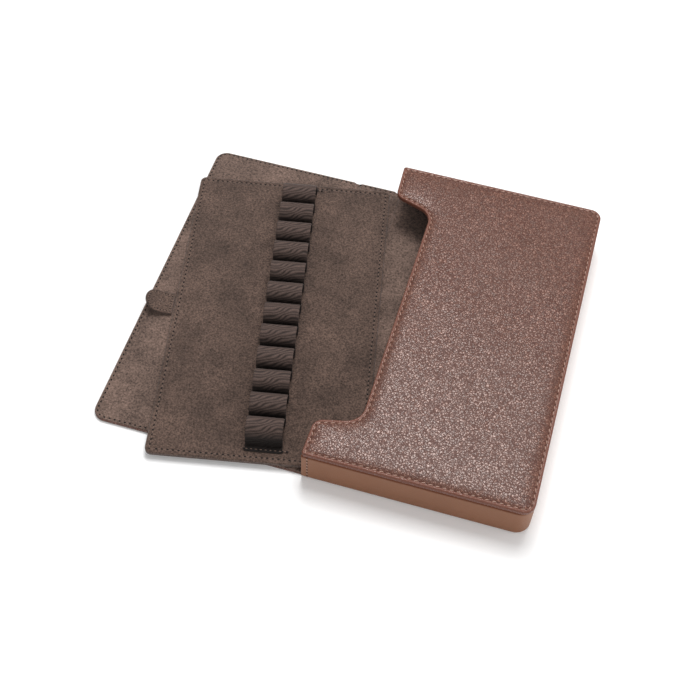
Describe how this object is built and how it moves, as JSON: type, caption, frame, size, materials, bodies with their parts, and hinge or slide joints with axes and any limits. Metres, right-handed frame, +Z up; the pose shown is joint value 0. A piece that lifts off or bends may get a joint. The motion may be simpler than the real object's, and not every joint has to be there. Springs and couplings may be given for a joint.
{
  "type": "pen case",
  "caption": "Leather pen case: rigid open-sided sleeve with a notched padded top, a fold-over flap, and a draw-out suede tray of pen loops with a pull tab",
  "frame": {"origin": "Centre of the sleeve's flat rest face, at the level it lies on", "axes": "+Z up; the sleeve opens towards -X, where the flap lies; the sleeve's long side runs along Y"},
  "size_m": [0.3035, 0.2769, 0.0322],
  "materials": {
    "grained_leather": "pebbled, semi-matt",
    "smooth_leather": "smooth, semi-matt",
    "loop_leather": "matt",
    "suede": "napped suede",
    "board": "plain",
    "padding": "foam",
    "magnet": "plated"
  },
  "bodies": {
    "sleeve": {"wall_leather": "smooth_leather", "wall_board": "board", "wall_lining": "suede", "base_leather": "grained_leather", "base_board": "board", "base_lining": "suede", "top_welt": "smooth_leather", "top_board": "board", "top_magnets": "magnet", "top_padding": "padding", "top_leather": "grained_leather", "top_lining": "suede"},
    "flap_spine": {"spine_leather": "grained_leather", "spine_board": "board", "spine_lining": "suede"},
    "flap_cover": {"cover_leather": "grained_leather", "cover_board": "board", "cover_magnets": "magnet", "cover_lining": "suede"},
    "tray": {"tray_backing": "suede", "tray_board": "board", "tray_face": "suede", "loop_01": "loop_leather", "loop_02": "loop_leather", "loop_03": "loop_leather", "loop_04": "loop_leather", "loop_05": "loop_leather", "loop_06": "loop_leather", "loop_07": "loop_leather", "loop_08": "loop_leather", "loop_09": "loop_leather", "loop_10": "loop_leather", "loop_11": "loop_leather", "loop_12": "loop_leather"},
    "pull_tab": {"pull_tab": "suede"}
  },
  "joints": [
    {"name": "tray_draw", "type": "hinge", "parent": "sleeve", "child": "tray", "pos_m": [-0.0101, -0.67476, 0.0065], "axis": [0, 0, 1], "range_deg": [-11.2, 4.2]},
    {"name": "spine_fold", "type": "hinge", "parent": "sleeve", "child": "flap_spine", "pos_m": [-0.0785, 0, 0], "axis": [0, 1, 0], "range_deg": [-90, 0]},
    {"name": "cover_fold", "type": "hinge", "parent": "flap_spine", "child": "flap_cover", "pos_m": [-0.1107, 0, 0], "axis": [0, 1, 0], "range_deg": [-90, 0]},
    {"name": "tab_lift", "type": "hinge", "parent": "tray", "child": "pull_tab", "pos_m": [-0.20532, -0.02555, 0.0049], "axis": [-0.1942, 0.981, 0], "range_deg": [0, 60]}
  ]
}
